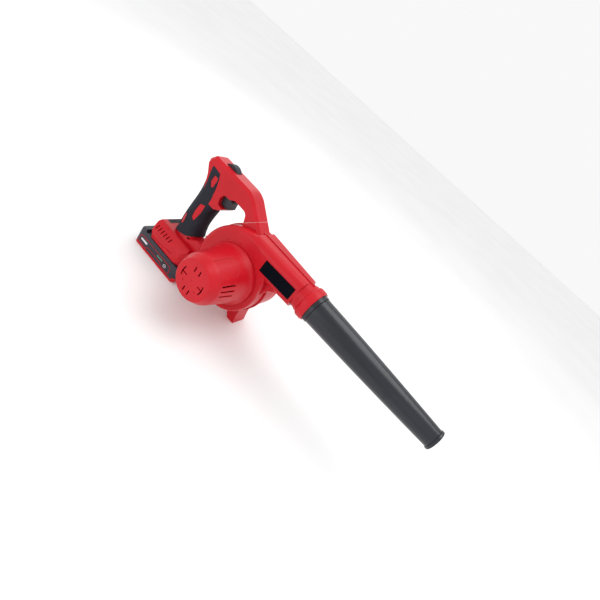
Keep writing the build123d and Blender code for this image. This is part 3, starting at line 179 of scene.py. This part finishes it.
FAN = finish_of("fan_nylon", (0.035, 0.036, 0.040), (0.055, 0.056, 0.060), (0.48, 0.62),
                patch=60, grain=1800, depth=0.03)
BOARD = finish_of("board", (0.010, 0.090, 0.035), (0.015, 0.140, 0.055), (0.25, 0.40),
                  patch=500, grain=2500, depth=0.03)
CELL = finish_of("cell_sleeve", (0.030, 0.140, 0.340), (0.040, 0.180, 0.420), (0.22, 0.34),
                 patch=50, grain=900, depth=0.02)
SILVER = finish_of("silver_print", (0.66, 0.67, 0.69), (0.78, 0.79, 0.81), (0.25, 0.38),
                   patch=400, grain=3000, depth=0.01)
LAMP = finish_of("lamp_lens", (0.10, 0.34, 0.20), (0.16, 0.48, 0.28), (0.12, 0.22),
                 patch=900, grain=4000, depth=0.01, glow=0.25)
LEAD = finish_of("lead_sleeve", (0.020, 0.020, 0.022), (0.030, 0.030, 0.032), (0.40, 0.55),
                 patch=200, grain=2500, depth=0.02)

NODE_FINISH = {
    RED: [
        "handle_shell_right", "handle_shell_left", "volute_shell_right", "volute_shell_left",
        "outlet_collar", "motor_housing", "motor_end_cap", "battery_base", "battery_trim",
    ],
    RUBBER: ["grip_rubber_right", "grip_rubber_left", "outlet_gasket"],
    NOZZLE: ["nozzle_tube", "nozzle_tip_ring", "nozzle_lock_ring"],
    BLACK: [
        "trigger", "speed_dial", "intake_grille", "vent_grille", "switch_body", "speed_sensor",
        "terminal_block", "motor_end_bell", "battery_latch", "cell_holders",
    ],
    PACK: ["battery_case", "gauge_button"],
    BADGE: ["badge_plate"],
    STEEL: [
        "volute_screws", "handle_screws", "grille_screws", "motor_screws", "motor_bearings",
        "motor_shaft", "impeller_nut", "trigger_spring", "latch_spring",
    ],
    CAN: ["motor_can"],
    BRASS: ["terminal_blades", "battery_terminals"],
    WINDING: ["motor_armature"],
    MAGNET: ["motor_magnets"],
    FAN: ["impeller", "cooling_fan"],
    BOARD: ["control_board", "battery_board"],
    CELL: ["battery_cells"],
    SILVER: ["battery_badge"],
    LAMP: ["gauge_lamps"],
    LEAD: ["supply_leads", "motor_leads"],
}

# Edge radius of the moulded pieces in mm, and the least angle of an edge that gets one
EDGE_RADIUS = {RED: 0.35, RUBBER: 0.3, BLACK: 0.3, PACK: 0.4, NOZZLE: 0.3, BADGE: 0.2}
EDGE_ANGLE = math.radians(38)
WELD_REACH = 0.002 * MM


def dress(node, material):
    """Gives a CAD node its material, and soft edges where it is moulded."""
    node.data.materials.clear()
    node.data.materials.append(material)
    if material not in EDGE_RADIUS:
        return
    weld = node.modifiers.new("weld", "WELD")
    weld.merge_threshold = WELD_REACH
    bevel = node.modifiers.new("edges", "BEVEL")
    bevel.width = EDGE_RADIUS[material] * MM
    bevel.segments = 2
    bevel.limit_method = "ANGLE"
    bevel.angle_limit = EDGE_ANGLE
    bevel.use_clamp_overlap = True
    bevel.harden_normals = False
    normals = node.modifiers.new("normals", "WEIGHTED_NORMAL")
    normals.weight = 60
    normals.keep_sharp = False


for material, names in NODE_FINISH.items():
    for node_name in names:
        dress(NODES[node_name], material)


# ------------------------------------------------------- pieces laid on it
def surface_of(node_name):
    """Search tree over the surface of a CAD node."""
    mesh = NODES[node_name].data
    return BVHTree.FromPolygons([v.co.copy() for v in mesh.vertices],
                                [list(p.vertices) for p in mesh.polygons])


def spread_points(points, step, closed=False):
    """Points along straight runs between the given ones, at most step apart."""
    ends = points[1:] + points[:1] if closed else points[1:]
    result = []
    for start, end in zip(points, ends):
        start, end = Vector(start), Vector(end)
        count = max(1, math.ceil((end - start).length / step))
        result.extend(start.lerp(end, i / count) for i in range(count))
    if not closed:
        result.append(Vector(points[-1]))
    return result


def rounded(points):
    """Closed outline with its corners cut twice, so that they come out round."""
    points = [Vector(p) for p in points]
    for _ in range(2):
        points = [a.lerp(b, share) for a, b in zip(points, points[1:] + points[:1])
                  for share in (0.25, 0.75)]
    return points


def from_side(side):
    """Casts (x, z) points along Y on to the face at that side, -1 for right and 1 for left."""
    def cast(tree, point):
        return tree.ray_cast(Vector((point[0], side * 0.3, point[1])), Vector((0, -side, 0)))
    return cast


def from_duct():
    """Casts (x, angle) points at the nozzle, from outside."""
    def cast(tree, point):
        out = Vector((0, math.cos(point[1]), math.sin(point[1])))
        return tree.ray_cast(Vector((point[0], 0, DUCT_Z)) + out * 0.2, -out)
    return cast


SINK = 0.15 * MM      # how far a bead's foot goes into the surface


def bead(name, tree, cast, points, width, rise, material, body, closed=False):
    """Low rounded strip that follows a surface along a line of cast points."""
    hits = [cast(tree, p) for p in points]
    hits = [(h[0], h[1]) for h in hits if h[0] is not None]
    count = len(hits)
    profile = [(-0.5, -SINK), (-0.42, 0.62 * rise), (-0.2, 0.95 * rise), (0.2, 0.95 * rise),
               (0.42, 0.62 * rise), (0.5, -SINK)]
    work = bmesh.new()
    rings = []
    for i, (place, normal) in enumerate(hits):
        before = hits[(i - 1) % count][0] if closed or i else place
        after = hits[(i + 1) % count][0] if closed or i < count - 1 else place
        along = (after - before).normalized()
        across = along.cross(normal).normalized()
        rings.append([work.verts.new(place + across * (u * width) + normal * v)
                      for u, v in profile])
    pairs = list(zip(rings, rings[1:] + rings[:1])) if closed else list(zip(rings, rings[1:]))
    sides = len(profile)
    for first, second in pairs:
        for j in range(sides):
            k = (j + 1) % sides
            work.faces.new((first[j], first[k], second[k], second[j]))
    if not closed:
        work.faces.new(rings[0])
        work.faces.new(list(reversed(rings[-1])))
    bmesh.ops.recalc_face_normals(work, faces=work.faces)
    return make_piece(name, work, material, body)


def make_piece(name, work, material, body):
    """Object from a bmesh, smooth, with its material, slot and body."""
    mesh = bpy.data.meshes.new(name)
    work.to_mesh(mesh)
    work.free()
    for face in mesh.polygons:
        face.use_smooth = True
    mesh.materials.append(material)
    piece = bpy.data.objects.new(name, mesh)
    bpy.context.scene.collection.objects.link(piece)
    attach(piece, body)
    return piece


def mm(*points):
    """Points given in millimetres, in metres."""
    return [tuple(value * MM for value in point) for point in points]


def arc(radius, start, end):
    """(x, z) points of an arc about the fan axis, two degrees apart or less."""
    count = math.ceil((end - start) / 2)
    angles = [math.radians(start + (end - start) * i / count) for i in range(count + 1)]
    return [(FAN_X + radius * MM * math.cos(a), FAN_Z + radius * MM * math.sin(a))
            for a in angles]


# Raised arcs on the right face of the fan housing
right_face = surface_of("volute_shell_right")
for number, (radius, start, end) in enumerate([(50, 102, 132), (47, 43, 78), (50, -62, -20)]):
    line = arc(radius, start, end)
    bead(f"volute_arc_{number + 1}", right_face, from_side(-1), line, 1.5 * MM, 0.45 * MM,
         RED, "housing")

# Frames round the red windows of the grip, and ribs on its lower front, on both sides
WINDOW_FRAMES = [
    mm((-0.2, 172.8), (8.6, 172.8), (11, 167.2), (10.2, 153.8), (5.2, 151.6), (-1.4, 159.2)),
    mm((3.6, 123.2), (15.8, 128), (15, 109.6), (10.8, 89.6), (2.4, 95.6), (1.3, 108)),
    mm((-10.2, 97.4), (-5, 92.8), (-2.4, 82.2), (-2.4, 74.4), (-7.8, 73.2), (-12, 83.8)),
]
RIB_LOW, RIB_HIGH, RIB_COUNT = 84.0, 120.0, 13
for side, word in ((-1, "right"), (1, "left")):
    rubber = surface_of(f"grip_rubber_{word}")
    for number, outline in enumerate(WINDOW_FRAMES):
        line = spread_points(rounded(outline), 1.0 * MM, True)
        bead(f"window_frame_{word}_{number + 1}", rubber, from_side(side), line, 1.1 * MM,
             0.35 * MM, RUBBER, "housing", True)
    for number in range(RIB_COUNT):
        z = RIB_LOW + (RIB_HIGH - RIB_LOW) * number / (RIB_COUNT - 1)
        line = spread_points(mm((16.5, z + 1.5), (22.6, z)), 0.6 * MM)
        bead(f"grip_rib_{word}_{number + 1}", rubber, from_side(side), line, 1.1 * MM,
             0.3 * MM, RUBBER, "housing")

# Silver ring and bar on the gauge button
button = surface_of("gauge_button")
button_low, button_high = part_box("gauge_button")
button_x = (button_low.x + button_high.x) / 2
button_z = (button_low.z + button_high.z) / 2
mark_r = (button_high.z - button_low.z) * 0.36
line = [(button_x + mark_r * math.cos(math.radians(angle)),
         button_z + mark_r * math.sin(math.radians(angle))) for angle in range(0, 360, 10)]
bead("button_ring", button, from_side(-1), line, 0.7 * MM, 0.15 * MM, SILVER,
     "gauge_button", True)
line = [(button_x + mark_r * 0.5 * i / 6, button_z) for i in range(-6, 7)]
bead("button_bar", button, from_side(-1), line, 0.9 * MM, 0.15 * MM, SILVER,
     "gauge_button")

# Mould line along the nozzle, on both sides
MOULD_LINE_RUNS = 60
tube = surface_of("nozzle_tube")
start_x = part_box("nozzle_lock_ring")[1].x + 5 * MM
end_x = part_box("nozzle_tip_ring")[0].x - 2 * MM
for number, angle in enumerate((100, 280)):
    line = [(start_x + (end_x - start_x) * i / MOULD_LINE_RUNS, math.radians(angle))
            for i in range(MOULD_LINE_RUNS + 1)]
    bead(f"nozzle_mould_line_{number + 1}", tube, from_duct(), line, 0.7 * MM, 0.16 * MM,
         NOZZLE, "nozzle")

# ------------------------------------------------------------ floor, light
FLOOR_SIZE = 12.0
floor_mesh = bpy.data.meshes.new("floor")
corner = FLOOR_SIZE / 2
floor_mesh.from_pydata(
    [(-corner, -corner, 0), (corner, -corner, 0), (corner, corner, 0), (-corner, corner, 0)],
    [], [(0, 1, 2, 3)])
floor = bpy.data.objects.new("floor", floor_mesh)
floor.location.z = CAD_BOX[0].z
bpy.context.scene.collection.objects.link(floor)
floor_mesh.materials.append(
    finish_of("floor_paper", (0.92, 0.92, 0.92), (0.95, 0.95, 0.95), (0.8, 0.9), patch=3,
              grain=300, depth=0.02, specular=0.1))

world = bpy.data.worlds.new("studio")
world.use_nodes = True
world.node_tree.nodes["Background"].inputs["Color"].default_value = (1, 1, 1, 1)
world.node_tree.nodes["Background"].inputs["Strength"].default_value = 0.94
bpy.context.scene.world = world
bpy.context.scene.view_settings.view_transform = "Standard"


def softbox(name, place, target, size, power):
    """Square area light at place that faces target."""
    data = bpy.data.lights.new(name, "AREA")
    data.size = size
    data.energy = power
    light = bpy.data.objects.new(name, data)
    light.location = place
    light.rotation_euler = (Vector(target) - Vector(place)).to_track_quat("-Z", "Y").to_euler()
    bpy.context.scene.collection.objects.link(light)
    return light


MIDDLE = (CAD_BOX[0] + CAD_BOX[1]) / 2
softbox("top_light", MIDDLE + Vector((0.15, 0.25, 1.3)), MIDDLE, size=0.9, power=7.0)
softbox("near_light", CAMERA_AT - CAMERA_RIGHT * 0.55 + CAMERA_UP * 0.1, MIDDLE, size=0.5,
        power=0.8)
softbox("back_light", MIDDLE + Vector((-0.9, 0.9, 0.8)), MIDDLE, size=0.8, power=1.5)
